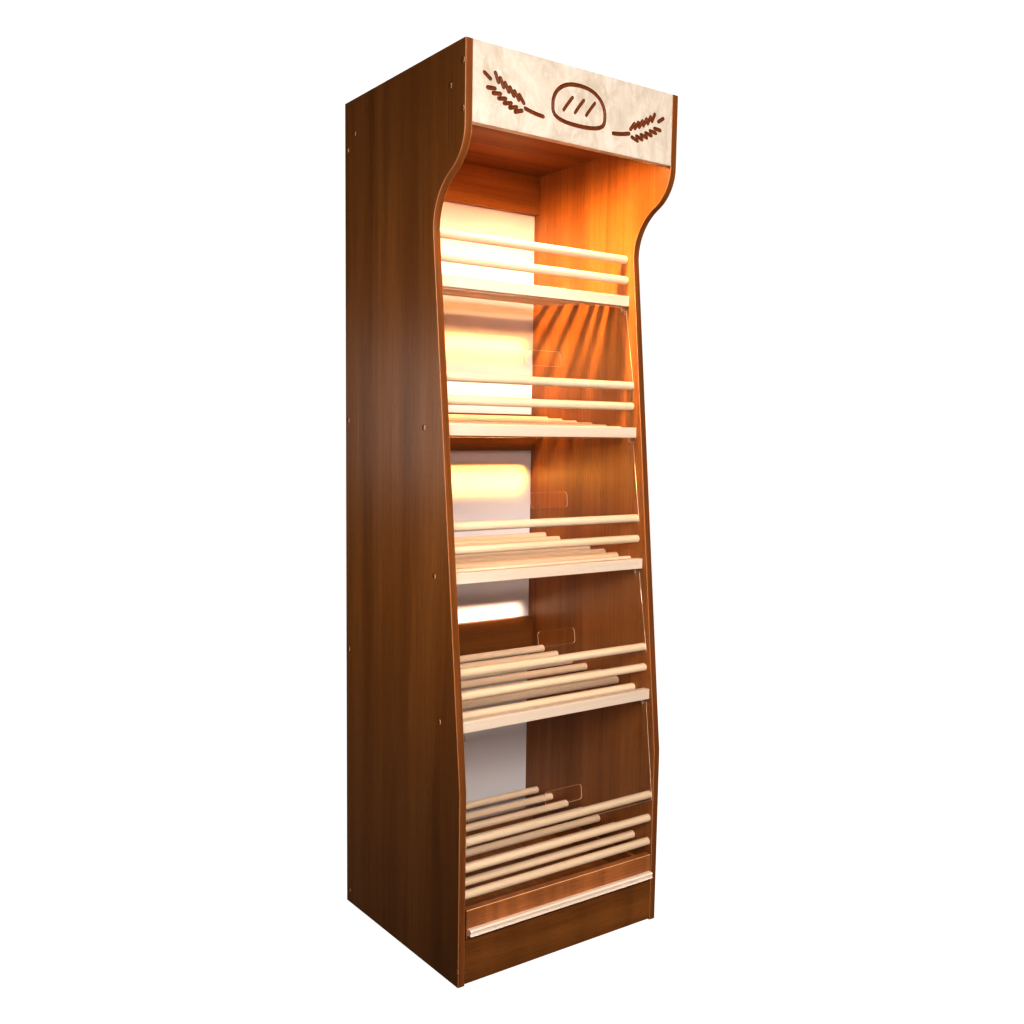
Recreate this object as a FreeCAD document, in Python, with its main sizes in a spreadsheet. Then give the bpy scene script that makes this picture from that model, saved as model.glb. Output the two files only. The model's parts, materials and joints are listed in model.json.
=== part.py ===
import FreeCAD, Part
import math
import os
import Sketcher
from FreeCAD import Placement, Rotation, Vector

# Bread rack for a bakery shop. Two shaped side panels carry four sloping shelves and one level shelf of round
# dowels, with guard rods along their fronts. A clear flap hangs in front of each of the four lower compartments,
# a crumb drawer runs in the base, and a lit hood with a header board stands over the top shelf.
#
# Millimetres. The front faces -Y and +X is on the right. The origin is on the floor, under the middle of the
# whole rack, the drawer's handle included. A "reach" is a distance forward from the rack's back plane.

SHELVES = (1, 2, 3, 4)  # the sloping shelves, from the top one down

SIZES = {
    # side panels, seen from the side
    "width": 600,
    "height": 2000,
    "board": 18,
    "band": 2,
    "base_depth": 518,
    "knee_height": 437,
    "slant": 5.69,
    "waist_drop": 365,
    "neck_radius": 118,
    "brow_radius": 94,
    "hood_setback": 4,
    # back and cross boards
    "back_sheet": 3,
    "rebate_width": 10,
    "rebate_gap": 0.5,
    "floor_gap": 4,
    "cross_height": 100,
    "lower_cross_rise": 11,
    "upper_cross_drop": 63,
    "plinth_height": 99,
    "header_height": 160,
    "crown_height": 71,
    # shelves
    "top_shelf_drop": 445,
    "low_shelf_height": 589,
    "shelf_tilt": 5.3,
    "rail_height": 25,
    "rail_depth": 20,
    "rod_diameter": 20,
    "first_dowel_reach": 70,
    "dowel_pitch": 61,
    "guard_pitch": 50.5,
    # each sloping shelf's own places: its rail and guard rods behind the slanted edge, its lower guard rod
    # above the rail, and its last dowel behind the rail's face
    "rail_setback_1": 21,
    "rail_setback_2": 15.5,
    "rail_setback_3": 13.5,
    "rail_setback_4": 8.5,
    "guard_setback_1": 30.5,
    "guard_setback_2": 29.5,
    "guard_setback_3": 30.5,
    "guard_setback_4": 24.5,
    "guard_lift_1": 39.5,
    "guard_lift_2": 52,
    "guard_lift_3": 47.5,
    "guard_lift_4": 51.5,
    "last_dowel_setback_1": 60,
    "last_dowel_setback_2": 60,
    "last_dowel_setback_3": 49,
    "last_dowel_setback_4": 60.5,
    # level bottom shelf
    "base_rod_rise": 29,
    "base_dowel_reach": 55,
    "base_dowel_pitch": 65.6,
    "base_rod_setback": 15.5,
    "base_guard_pitch": 60.5,
    # flaps
    "flap_sheet": 3,
    "flap_side_gap": 2,
    "pivot_setback": 10,
    "head_clearance": 2.5,
    "flap_head": 3,
    "stop_gap": 0.3,
    "flap_corner": 4,
    "hand_hole_width": 110,
    "hand_hole_height": 36,
    "hand_hole_radius": 8,
    "hand_hole_lift": 46,
    "block_gap": 2,
    "notch_drop": 5,
    "block_width": 12,
    "block_head": 3.5,
    "block_length": 14,
    "block_chamfer": 2,
    "cheek": 2,
    "cement_gap": 0.05,
    "pin_diameter": 4,
    "pin_reach": 12,
    "pin_seat": 11,
    "pin_gap": 0.06,
    # crumb drawer
    "drawer_gap": 3,
    "drawer_height": 66,
    "drawer_side": 12,
    "drawer_side_height": 48,
    "drawer_side_lift": 4,
    "drawer_back_gap": 60,
    "drawer_sheet": 3,
    "slide_thickness": 12.7,
    "slide_height": 25,
    "slide_setback": 3,
    "slide_steel": 1.2,
    "slide_play": 3.7,
    "slide_race": 5.6,
    "handle_proud": 13,
    "handle_height": 16,
    "handle_lift": 8,
    "handle_end_gap": 3,
    "handle_nose": 4,
    "handle_lip": 2,
    "cove_depth": 1.2,
    "groove_setback": 3,
    "groove_width": 6,
    "groove_depth": 2.5,
    # lamp
    "lamp_end_gap": 22,
    "lamp_setback": 57,
    "lamp_depth": 28,
    "lamp_height": 14,
    "lamp_steel": 1,
    "tube_diameter": 16,
    "tube_drop": 9,
    "holder_width": 12,
}

doc = FreeCAD.newDocument("bread_rack")
sheet = doc.addObject("Spreadsheet::Sheet", "Sizes")
for row, (alias, value) in enumerate(SIZES.items(), start=1):
    sheet.set(f"A{row}", alias)
    sheet.set(f"B{row}", str(value))
    sheet.setAlias(f"B{row}", alias)
doc.recompute()

nodes = []


def size(alias):
    return float(getattr(sheet, alias))


def each(pattern):
    """An expression with every size's name turned into its cell's."""
    words = []
    for word in pattern.split():
        words.append("Sizes." + word if word in SIZES else word)
    return " ".join(words)


# Expressions for the places that many pieces share.
BACK = "( base_depth + handle_proud ) / 2"
INNER = "( width / 2 - board )"
SPAN = "( width - 2 * board )"
HOOD = "( base_depth - hood_setback )"
WAIST = "( height - waist_drop )"
TOP_SHELF = "( height - top_shelf_drop )"
SHELF_PITCH = f"( ( {TOP_SHELF} - low_shelf_height ) / {len(SHELVES) - 1} )"
DRAWER_FOOT = "( floor_gap + plinth_height + drawer_gap )"
BASE_ROD = f"( {DRAWER_FOOT} + drawer_height + base_rod_rise )"
PIVOT_DROP = "( block_head + head_clearance )"
DRAWER_DEPTH = "( base_depth - board - drawer_back_gap )"
SLIDE_MEMBER = "( slide_thickness - slide_play )"
INNER_SLIDE_HEIGHT = "( slide_height - 2 * slide_steel - slide_race )"
LAMP_LENGTH = f"( {SPAN} - 2 * lamp_end_gap )"


def reach(distance):
    """The Y of a place at this distance forward from the back plane."""
    return f"{BACK} - ( {distance} )"


def value_of(pattern):
    return float(sheet.evalExpression(each(pattern)))


def bind(obj, **patterns):
    for name, pattern in patterns.items():
        obj.setExpression(name, each(pattern))


def place(obj, x="0", y="0", z="0"):
    for axis, pattern in (("x", x), ("y", y), ("z", z)):
        obj.setExpression(f"Placement.Base.{axis}", each(pattern))


def keep(obj, label):
    """Name a finished piece, so that it is checked and written to its own file."""
    obj.Label = label
    nodes.append(obj)
    return obj


# ---------------------------------------------------------------- building blocks


def board(label, across, deep, high, x, y, z):
    """A plain board: three sizes and its lowest left front corner."""
    box = doc.addObject("Part::Box", label)
    bind(box, Length=across, Width=deep, Height=high)
    place(box, x, y, z)
    return box


def round_bar(label, diameter, length, x, y, z):
    """A round bar along X from its left end, at a worked-out place."""
    bar = doc.addObject("Part::Cylinder", label)
    bind(bar, Radius=f"{diameter} / 2", Height=length)
    bar.Placement = Placement(Vector(x, y, z), Rotation(Vector(0, 1, 0), 90))
    return bar


def group(label, pieces):
    """Identical pieces as separate solids of one node."""
    compound = doc.addObject("Part::Compound", label)
    compound.Links = pieces
    return compound


def new_body(label):
    body = doc.addObject("PartDesign::Body", label)
    body.Label = label
    return body


def sketch_on(body, role, name, offset="0"):
    """A sketch on one of the body's own origin planes, moved along the plane's normal."""
    plane = next(f for f in body.Origin.OriginFeatures if f.Role == role)
    sketch = body.newObject("Sketcher::SketchObject", name)
    sketch.AttachmentSupport = [(plane, "")]
    sketch.MapMode = "FlatFace"
    sketch.setExpression("AttachmentOffset.Base.z", each(offset))
    return sketch


def corner(x, y):
    return Vector(x, y, 0)


def polygon(sketch, points):
    """A closed outline of straight lines, joined end to end."""
    first = sketch.GeometryCount
    for start, end in zip(points, points[1:] + points[:1]):
        sketch.addGeometry(Part.LineSegment(corner(*start), corner(*end)))
    for i in range(len(points)):
        following = (i + 1) % len(points)
        sketch.addConstraint(Sketcher.Constraint("Coincident", first + i, 2, first + following, 1))


def outline(sketch, pieces):
    """A closed outline of lines and three-point arcs: each piece is its start and, for an arc, its middle."""
    for i, piece in enumerate(pieces):
        start = corner(*piece[0])
        end = corner(*pieces[(i + 1) % len(pieces)][0])
        if len(piece) == 2:
            sketch.addGeometry(Part.Arc(start, corner(*piece[1]), end))
        else:
            sketch.addGeometry(Part.LineSegment(start, end))


def circle(sketch, x, y, radius):
    return sketch.addGeometry(Part.Circle(corner(x, y), Vector(0, 0, 1), radius))


def dimension(sketch, name, pattern, kind, *places):
    """A named dimension bound to the sheet."""
    number = value_of(pattern)
    if kind == "Angle":
        number = math.radians(number)
    index = sketch.addConstraint(Sketcher.Constraint(kind, *places, number))
    sketch.renameConstraint(index, name)
    unit = " * 1 deg" if kind == "Angle" else ""
    sketch.setExpression(f"Constraints.{name}", f"({each(pattern)}){unit}")


def pad(body, sketch, length, symmetric=False):
    feature = body.newObject("PartDesign::Pad", sketch.Name + "_pad")
    feature.Profile = sketch
    feature.SideType = "Symmetric" if symmetric else "One side"
    bind(feature, Length=length)
    sketch.Visibility = False
    return feature


def pocket(body, sketch, depth, forward=False):
    feature = body.newObject("PartDesign::Pocket", sketch.Name + "_pocket")
    feature.Profile = sketch
    feature.Reversed = forward
    bind(feature, Length=depth)
    sketch.Visibility = False
    return feature


# ---------------------------------------------------------------- places on the side panels


def edge_reach(height):
    """How far forward the slanted front edge stands at this height."""
    return size("base_depth") - (height - size("knee_height")) * math.tan(math.radians(size("slant")))


def rail_top(shelf):
    return value_of(TOP_SHELF) - (shelf - 1) * value_of(SHELF_PITCH)


def rail_face(shelf):
    """The reach of the shelf rail's front face."""
    middle = rail_top(shelf) - size("rail_height") / 2
    return edge_reach(middle) - size(f"rail_setback_{shelf}")


def floor_places(shelf):
    """(reach, height) of the dowels in a sloping floor, from the back: even steps, then two equal shorter ones.

    Their tops lie in one plane, which meets the top of the shelf rail's back edge.
    """
    first = size("first_dowel_reach")
    last = rail_face(shelf) - size(f"last_dowel_setback_{shelf}")
    steps = math.ceil((last - first) / size("dowel_pitch"))
    reaches = [first + k * size("dowel_pitch") for k in range(steps - 1)]
    reaches += [(reaches[-1] + last) / 2, last]
    rail_back = rail_face(shelf) - size("rail_depth")
    tilt = math.radians(size("shelf_tilt"))
    below = size("rod_diameter") / 2 / math.cos(tilt)
    return [(r, rail_top(shelf) - below + (rail_back - r) * math.tan(tilt)) for r in reaches]


def guard_places(shelf):
    """(reach, height) of a sloping shelf's lower and upper guard rods, one above the other along the edge."""
    low = rail_top(shelf) + size(f"guard_lift_{shelf}")
    high = low + size("guard_pitch")
    setback = size(f"guard_setback_{shelf}")
    return (edge_reach(low) - setback, low), (edge_reach(high) - setback, high)


def base_front_reach():
    return size("base_depth") - size("base_rod_setback")


def base_floor_places():
    """(reach, height) of the level shelf's dowels behind its front rod."""
    first = size("base_dowel_reach")
    room = base_front_reach() - size("rod_diameter") - first
    count = int(room // size("base_dowel_pitch")) + 1
    return [(first + k * size("base_dowel_pitch"), value_of(BASE_ROD)) for k in range(count)]


def base_guard_places():
    """(reach, height) of the level shelf's front rod, lower guard and upper guard."""
    base = value_of(BASE_ROD)
    return [(base_front_reach(), base + k * size("base_guard_pitch")) for k in range(3)]


def stop_rod(shelf):
    """(reach, height) of the rod that this shelf's hanging flap rests on."""
    if shelf == SHELVES[-1]:
        return base_guard_places()[2]
    return guard_places(shelf + 1)[1]


def flap_pivot(shelf):
    return (
        rail_face(shelf) - size("pivot_setback"),
        rail_top(shelf) - size("rail_height") - value_of(PIVOT_DROP),
    )


def flap_lean(shelf):
    """Degrees from straight down to the closed flap, whose back just clears the rod that stops it."""
    pivot, stop = flap_pivot(shelf), stop_rod(shelf)
    forward, down = stop[0] - pivot[0], pivot[1] - stop[1]
    clear = size("rod_diameter") / 2 + size("stop_gap") + size("flap_sheet") / 2
    return math.degrees(math.atan2(forward, down) + math.asin(clear / math.hypot(forward, down)))


def flap_length(shelf):
    """From the pivot down the closed sheet to the level of its stop rod's underside."""
    drop = flap_pivot(shelf)[1] - stop_rod(shelf)[1] + size("rod_diameter") / 2
    return drop / math.cos(math.radians(flap_lean(shelf)))


def world_y(forward):
    return value_of(reach(str(forward)))


# ---------------------------------------------------------------- carcass


def profile_sketch(body, name, inset):
    """The side panel's outline, from the back bottom corner, with its front edge moved back by the inset.

    Sketch X is the rack's Y, so the front edge lies at negative X: up the base, back along the slant, forward
    round the hollow neck and the rounded brow, and up the hood's front.
    """
    trim = value_of(inset)
    slant = math.radians(size("slant"))
    neck, brow = size("neck_radius"), size("brow_radius")
    waist_height = value_of(WAIST)
    waist = corner(-edge_reach(waist_height), waist_height)
    neck_centre = waist + corner(-math.cos(slant), math.sin(slant)) * neck
    brow_x = brow - value_of(HOOD)
    rise = math.sqrt((neck + brow) ** 2 - (brow_x - neck_centre.x) ** 2)
    brow_centre = corner(brow_x, neck_centre.y + rise)
    turn = math.atan2(rise, brow_x - neck_centre.x)
    base_x = trim - size("base_depth")
    hood_x = trim - value_of(HOOD)
    top = size("height")
    knee = corner(base_x, size("knee_height") - trim * math.tan(slant / 2))
    waist_inset = waist + corner(math.cos(slant), -math.sin(slant)) * trim
    axis = Vector(0, 0, 1)

    sketch = sketch_on(body, "YZ_Plane", name)
    floor, base, slope, hollow, round_, hood, crown, back = range(8)
    sketch.addGeometry(
        [
            Part.LineSegment(corner(0, 0), corner(base_x, 0)),
            Part.LineSegment(corner(base_x, 0), knee),
            Part.LineSegment(knee, waist_inset),
            Part.ArcOfCircle(Part.Circle(neck_centre, axis, neck + trim), -slant, turn),
            Part.ArcOfCircle(Part.Circle(brow_centre, axis, brow - trim), math.pi, math.pi + turn),
            Part.LineSegment(corner(hood_x, brow_centre.y), corner(hood_x, top)),
            Part.LineSegment(corner(hood_x, top), corner(0, top)),
            Part.LineSegment(corner(0, top), corner(0, 0)),
        ]
    )
    origin = (-1, 1)
    joints = (
        ("Coincident", floor, 1, *origin),
        ("Coincident", floor, 2, base, 1),
        ("Coincident", base, 2, slope, 1),
        ("Tangent", slope, 2, hollow, 1),
        ("Tangent", hollow, 2, round_, 2),
        ("Tangent", round_, 1, hood, 1),
        ("Coincident", hood, 2, crown, 1),
        ("Coincident", crown, 2, back, 1),
        ("Coincident", back, 2, floor, 1),
        ("Horizontal", floor),
        ("Horizontal", crown),
        ("Vertical", base),
        ("Vertical", hood),
        ("Vertical", back),
    )
    for joint in joints:
        sketch.addConstraint(Sketcher.Constraint(*joint))
    half_turn = "tan( slant * 1deg / 2 )"
    sine = "sin( slant * 1deg )"
    dimension(sketch, "base_reach", f"base_depth - {inset}", "DistanceX", floor, 2, *origin)
    dimension(sketch, "knee", f"knee_height - {inset} * {half_turn}", "DistanceY", *origin, base, 2)
    dimension(sketch, "slope", "90 - slant", "Angle", slope)
    dimension(sketch, "waist", f"{WAIST} - {inset} * {sine}", "DistanceY", *origin, slope, 2)
    dimension(sketch, "neck", f"neck_radius + {inset}", "Radius", hollow)
    dimension(sketch, "brow", f"brow_radius - {inset}", "Radius", round_)
    dimension(sketch, "hood_reach", f"{HOOD} - {inset}", "DistanceX", hood, 2, *origin)
    dimension(sketch, "top", "height", "DistanceY", *origin, crown, 2)
    return sketch


def side_panel(label, left):
    """A shaped panel with the back sheet's rebate and the hinge pins' blind holes in its inner face."""
    body = new_body(label)
    pad(body, profile_sketch(body, label + "_profile", "band"), "board")
    inner_face = "board" if left else "0"

    rebate = sketch_on(body, "YZ_Plane", label + "_rebate", inner_face)
    top, deep = size("height"), size("back_sheet")
    polygon(rebate, [(0, 0), (0, top), (-deep, top), (-deep, 0)])
    pocket(body, rebate, "rebate_width", forward=not left)

    seats = sketch_on(body, "YZ_Plane", label + "_pin_seats", inner_face)
    for shelf in SHELVES:
        forward, height = flap_pivot(shelf)
        circle(seats, -forward, height, size("pin_diameter") / 2)
    pocket(body, seats, "pin_seat", forward=not left)

    place(body, x="- width / 2" if left else INNER, y=BACK)
    return keep(body, label)


def edge_band(label, left):
    """The edging along the panel's whole front edge: the full outline less the panel's own."""
    body = new_body(label)
    pad(body, profile_sketch(body, label + "_outer", "0 * band"), "board")
    pocket(body, profile_sketch(body, label + "_inner", "band"), "board", forward=True)
    place(body, x="- width / 2" if left else INNER, y=BACK)
    return keep(body, label)


def cross_board(label, z):
    """A stretcher between the side panels, against the front of the back sheet."""
    y = reach("back_sheet + board")
    return keep(board(label, SPAN, "board", "cross_height", f"- {INNER}", y, z), label)


def carcass():
    for name, left in (("left", True), ("right", False)):
        side_panel("side_panel_" + name, left)
        edge_band("edge_band_" + name, left)
    cross_board("back_rail_top", "height - crown_height - board - cross_height")
    cross_board("back_rail_upper", f"{TOP_SHELF} - {SHELF_PITCH} - upper_cross_drop")
    cross_board("back_rail_lower", "low_shelf_height + lower_cross_rise")
    cross_board("back_rail_bottom", "floor_gap")
    ceiling_deep = f"{HOOD} - board - back_sheet"
    ceiling_z = "height - crown_height - board"
    ceiling_y = reach(f"{HOOD} - board")
    ceiling = board("ceiling_panel", SPAN, ceiling_deep, "board", f"- {INNER}", ceiling_y, ceiling_z)
    keep(ceiling, "ceiling_panel")
    header = board(
        "header_board", SPAN, "board", "header_height", f"- {INNER}", reach(HOOD), "height - header_height"
    )
    keep(header, "header_board")
    plinth = board("plinth_board", SPAN, "board", "plinth_height", f"- {INNER}", reach("base_depth"), "floor_gap")
    keep(plinth, "plinth_board")
    across = f"{SPAN} + 2 * ( rebate_width - rebate_gap )"
    left_edge = f"- {INNER} - rebate_width + rebate_gap"
    back = board(
        "back_panel", across, "back_sheet", "height - crown_height - floor_gap", left_edge, reach("back_sheet"),
        "floor_gap",
    )
    keep(back, "back_panel")


# ---------------------------------------------------------------- shelves


def rod(label, forward, height):
    """A dowel from one side panel to the other."""
    return round_bar(label, "rod_diameter", SPAN, -value_of(INNER), world_y(forward), height)


def dowel_floor(label, places):
    dowels = [rod(f"{label}_{i}", *spot) for i, spot in enumerate(places, start=1)]
    keep(group(label, dowels), label)


def shelf_rail(shelf):
    """The square front rail of a sloping shelf."""
    rail = doc.addObject("Part::Box", f"shelf_rail_{shelf}")
    bind(rail, Length=SPAN, Width="rail_depth", Height="rail_height")
    bottom = rail_top(shelf) - size("rail_height")
    rail.Placement.Base = Vector(-value_of(INNER), world_y(rail_face(shelf)), bottom)
    keep(rail, f"shelf_rail_{shelf}")


def shelves():
    for shelf in SHELVES:
        shelf_rail(shelf)
        dowel_floor(f"floor_dowels_{shelf}", floor_places(shelf))
        for name, spot in zip(("lower", "upper"), guard_places(shelf)):
            label = f"guard_rod_{name}_{shelf}"
            keep(rod(label, *spot), label)
    dowel_floor("floor_dowels_5", base_floor_places())
    for name, spot in zip(("front_rod", "guard_lower", "guard_upper"), base_guard_places()):
        label = "base_" + name
        keep(rod(label, *spot), label)


# ---------------------------------------------------------------- flaps


def hinge_placement(shelf, x):
    """A place on a closed flap: the origin is on the hinge axis and the sheet hangs down local -Z."""
    forward, height = flap_pivot(shelf)
    return Placement(Vector(x, world_y(forward), height), Rotation(Vector(1, 0, 0), -flap_lean(shelf)))


def rounded_hole(sketch, half, bottom, top, radius):
    """A slot-like hole with rounded corners, centred on the sketch's Y axis."""
    bend = radius * (1 - math.sqrt(0.5))
    outline(
        sketch,
        [
            ((-half + radius, bottom),),
            ((half - radius, bottom), (half - bend, bottom + bend)),
            ((half, bottom + radius),),
            ((half, top - radius), (half - bend, top - bend)),
            ((half - radius, top),),
            ((-half + radius, top), (-half + bend, top - bend)),
            ((-half, top - radius),),
            ((-half, bottom + radius), (-half + bend, bottom + bend)),
        ],
    )


def flap_sheet(shelf):
    """A clear sheet with its upper corners cut out for the hinge blocks, and a hand hole near its bottom."""
    label = f"flap_{shelf}"
    body = new_body(label)
    half = value_of(INNER) - size("flap_side_gap")
    head, foot = size("flap_head"), -flap_length(shelf)
    notch = half - size("block_width") - size("block_gap")
    shoulder = -size("notch_drop")
    curve = size("flap_corner")
    bend = curve * (1 - math.sqrt(0.5))
    sketch = sketch_on(body, "XZ_Plane", label + "_outline")
    outline(
        sketch,
        [
            ((-notch, head),),
            ((notch, head),),
            ((notch, shoulder),),
            ((half, shoulder),),
            ((half, foot + curve), (half - bend, foot + bend)),
            ((half - curve, foot),),
            ((-half + curve, foot), (-half + bend, foot + bend)),
            ((-half, foot + curve),),
            ((-half, shoulder),),
            ((-notch, shoulder),),
        ],
    )
    low = foot + size("hand_hole_lift")
    rounded_hole(sketch, size("hand_hole_width") / 2, low, low + size("hand_hole_height"), size("hand_hole_radius"))
    pad(body, sketch, "flap_sheet", symmetric=True)
    body.Placement = hinge_placement(shelf, 0)
    keep(body, label)


def hinge_block(label, shelf, x):
    """A clear block cemented over the sheet's corner: a bored head with two cheeks that grip the sheet."""
    body = new_body(label)
    slot = size("flap_sheet") / 2 + size("cement_gap")
    outside = slot + size("cheek")
    head, foot, roof = size("block_head"), -size("block_length"), -size("notch_drop")
    chamfer = size("block_chamfer")
    sketch = sketch_on(body, "YZ_Plane", label + "_section")
    polygon(
        sketch,
        [
            (outside, foot),
            (outside, head - chamfer),
            (outside - chamfer, head),
            (chamfer - outside, head),
            (-outside, head - chamfer),
            (-outside, foot),
            (-slot, foot),
            (-slot, roof),
            (slot, roof),
            (slot, foot),
        ],
    )
    circle(sketch, 0, 0, size("pin_diameter") / 2 + size("pin_gap"))
    pad(body, sketch, "block_width")
    body.Placement = hinge_placement(shelf, x)
    return body


def hinge_pin(label, shelf, left):
    """A steel pin pressed into the side panel."""
    forward, height = flap_pivot(shelf)
    start = -value_of(INNER) - size("pin_seat") if left else value_of(INNER) - size("pin_reach")
    return round_bar(label, "pin_diameter", "pin_seat + pin_reach", start, world_y(forward), height)


def flaps():
    pins = []
    outer = value_of(INNER) - size("flap_side_gap")
    for shelf in SHELVES:
        flap_sheet(shelf)
        blocks = [
            hinge_block(f"hinge_block_left_{shelf}", shelf, -outer),
            hinge_block(f"hinge_block_right_{shelf}", shelf, outer - size("block_width")),
        ]
        keep(group(f"flap_hinge_blocks_{shelf}", blocks), f"flap_hinge_blocks_{shelf}")
        pins.append(hinge_pin(f"pin_left_{shelf}", shelf, True))
        pins.append(hinge_pin(f"pin_right_{shelf}", shelf, False))
    keep(group("flap_pins", pins), "flap_pins")


# ---------------------------------------------------------------- crumb drawer

SIDE_FOOT = f"{DRAWER_FOOT} + drawer_side_lift"
BOX_HALF = f"( {INNER} - slide_thickness )"
BOX_FRONT = "( base_depth - board )"


def channel(label, high, x, opens_right):
    """A C-section slide member of this height, standing on its back along Y."""
    body = new_body(label)
    thick, depth, half = size("slide_steel"), value_of(SLIDE_MEMBER), value_of(high) / 2
    sign = 1 if opens_right else -1
    section = [
        (0, -half),
        (depth, -half),
        (depth, thick - half),
        (thick, thick - half),
        (thick, half - thick),
        (depth, half - thick),
        (depth, half),
        (0, half),
    ]
    sketch = sketch_on(body, "XZ_Plane", label + "_section")
    polygon(sketch, [(sign * a, b) for a, b in section])
    pad(body, sketch, DRAWER_DEPTH)
    place(body, x, reach(f"{BOX_FRONT} - slide_setback - {DRAWER_DEPTH}"), f"{DRAWER_FOOT} + slide_height / 2")
    return keep(body, label)


def handle_strip():
    """The pale strip along the drawer's front: round nose, hollow face and a finger groove underneath."""
    body = new_body("drawer_handle")
    proud, high = size("handle_proud"), size("handle_height")
    nose, lip, cove = size("handle_nose"), size("handle_lip"), size("cove_depth")
    groove, deep = size("groove_width"), size("groove_depth")
    nose_bend = nose * (1 - math.sqrt(0.5))
    lip_bend = lip * (1 - math.sqrt(0.5))
    groove_front = size("groove_setback") - proud
    sketch = sketch_on(body, "YZ_Plane", "handle_section")
    outline(
        sketch,
        [
            ((0, 0),),
            ((0, high),),
            ((-proud + nose, high), (-proud + nose_bend, high - nose_bend)),
            ((-proud, high - nose), (-proud + cove, (high - nose + lip) / 2)),
            ((-proud, lip), (-proud + lip_bend, lip_bend)),
            ((-proud + lip, 0),),
            ((groove_front, 0), (groove_front + groove / 2, deep)),
            ((groove_front + groove, 0),),
        ],
    )
    length = f"{SPAN} - 2 * drawer_gap - 2 * handle_end_gap"
    pad(body, sketch, length, symmetric=True)
    place(body, "0", reach("base_depth"), f"{DRAWER_FOOT} + handle_lift")
    return keep(body, "drawer_handle")


def drawer():
    gap_width = f"{SPAN} - 2 * drawer_gap"
    front = board(
        "drawer_front", gap_width, "board", "drawer_height", f"- {INNER} + drawer_gap", reach("base_depth"),
        DRAWER_FOOT,
    )
    keep(front, "drawer_front")
    handle_strip()

    for name, x in (("left", f"- {BOX_HALF}"), ("right", f"{BOX_HALF} - drawer_side")):
        label = "drawer_side_" + name
        side = board(label, "drawer_side", DRAWER_DEPTH, "drawer_side_height", x, reach(BOX_FRONT), SIDE_FOOT)
        keep(side, label)
    back_width = f"2 * ( {BOX_HALF} - drawer_side )"
    back_reach = reach(f"{BOX_FRONT} - {DRAWER_DEPTH} + drawer_side")
    back_x = f"- {BOX_HALF} + drawer_side"
    back = board("drawer_back", back_width, "drawer_side", "drawer_side_height", back_x, back_reach, SIDE_FOOT)
    keep(back, "drawer_back")
    bottom = board(
        "drawer_bottom", f"2 * {BOX_HALF}", DRAWER_DEPTH, "drawer_sheet", f"- {BOX_HALF}", reach(BOX_FRONT),
        f"{SIDE_FOOT} - drawer_sheet",
    )
    keep(bottom, "drawer_bottom")


def slides():
    channel("slide_outer_left", "slide_height", f"- {INNER}", True)
    channel("slide_outer_right", "slide_height", INNER, False)
    channel("slide_inner_left", INNER_SLIDE_HEIGHT, f"- {BOX_HALF}", False)
    channel("slide_inner_right", INNER_SLIDE_HEIGHT, BOX_HALF, True)


# ---------------------------------------------------------------- lamp

LAMP_TOP = "height - crown_height - board"
LAMP_FRONT = f"( {HOOD} - board - lamp_setback )"


def lamp():
    """A slim batten under the ceiling, set back from the header: a folded housing, a tube and two holders."""
    body = new_body("lamp_housing")
    deep, high, steel = size("lamp_depth"), size("lamp_height"), size("lamp_steel")
    sketch = sketch_on(body, "YZ_Plane", "housing_section")
    polygon(
        sketch,
        [
            (0, 0),
            (steel, 0),
            (steel, high - steel),
            (deep - steel, high - steel),
            (deep - steel, 0),
            (deep, 0),
            (deep, high),
            (0, high),
        ],
    )
    pad(body, sketch, LAMP_LENGTH, symmetric=True)
    place(body, "0", reach(LAMP_FRONT), f"{LAMP_TOP} - lamp_height")
    keep(body, "lamp_housing")

    tube = doc.addObject("Part::Cylinder", "lamp_tube")
    bind(tube, Radius="tube_diameter / 2", Height=f"{LAMP_LENGTH} - 2 * holder_width")
    tube.Placement = Placement(Vector(0, 0, 0), Rotation(Vector(0, 1, 0), 90))
    tube_reach = reach(f"{LAMP_FRONT} - lamp_depth / 2")
    place(tube, f"- {LAMP_LENGTH} / 2 + holder_width", tube_reach, f"{LAMP_TOP} - lamp_height - tube_drop")
    keep(tube, "lamp_tube")

    holders = []
    holder_high = "tube_drop + tube_diameter / 2 + lamp_height - lamp_steel"
    for name, x in (("left", f"- {LAMP_LENGTH} / 2"), ("right", f"{LAMP_LENGTH} / 2 - holder_width")):
        holder = board(
            "lamp_holder_" + name, "holder_width", "lamp_depth - 2 * lamp_steel", holder_high, x,
            reach(f"{LAMP_FRONT} - lamp_steel"), f"{LAMP_TOP} - lamp_height - tube_drop - tube_diameter / 2",
        )
        holders.append(holder)
    keep(group("lamp_holders", holders), "lamp_holders")


# ---------------------------------------------------------------- build, check and write


def check_and_write():
    doc.recompute()
    for obj in doc.Objects:
        if "Invalid" in obj.State or "Error" in obj.State:
            raise RuntimeError(f"{obj.Label} did not build: {obj.State}")
    os.makedirs("parts", exist_ok=True)
    for obj in nodes:
        if obj.Shape.isNull() or not obj.Shape.isValid():
            raise RuntimeError(f"{obj.Label} has no valid shape")
        obj.Shape.exportStep(f"parts/{obj.Label}.step")
    print(len(nodes), "nodes written")


carcass()
shelves()
flaps()
drawer()
slides()
lamp()
check_and_write()
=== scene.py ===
"""The looks of a bakery bread rack: walnut-pattern carcass, birch dowel shelves, clear flaps and a lit hood.

Lengths are in millimetres up to the point where a piece is made, and "reach" is a distance forward from the
rack's back plane, as in the rack's own drawing. The rack faces -Y and stands on Z = 0.
"""

import json
import math

import bmesh
import bpy
from mathutils import Matrix, Vector


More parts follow.
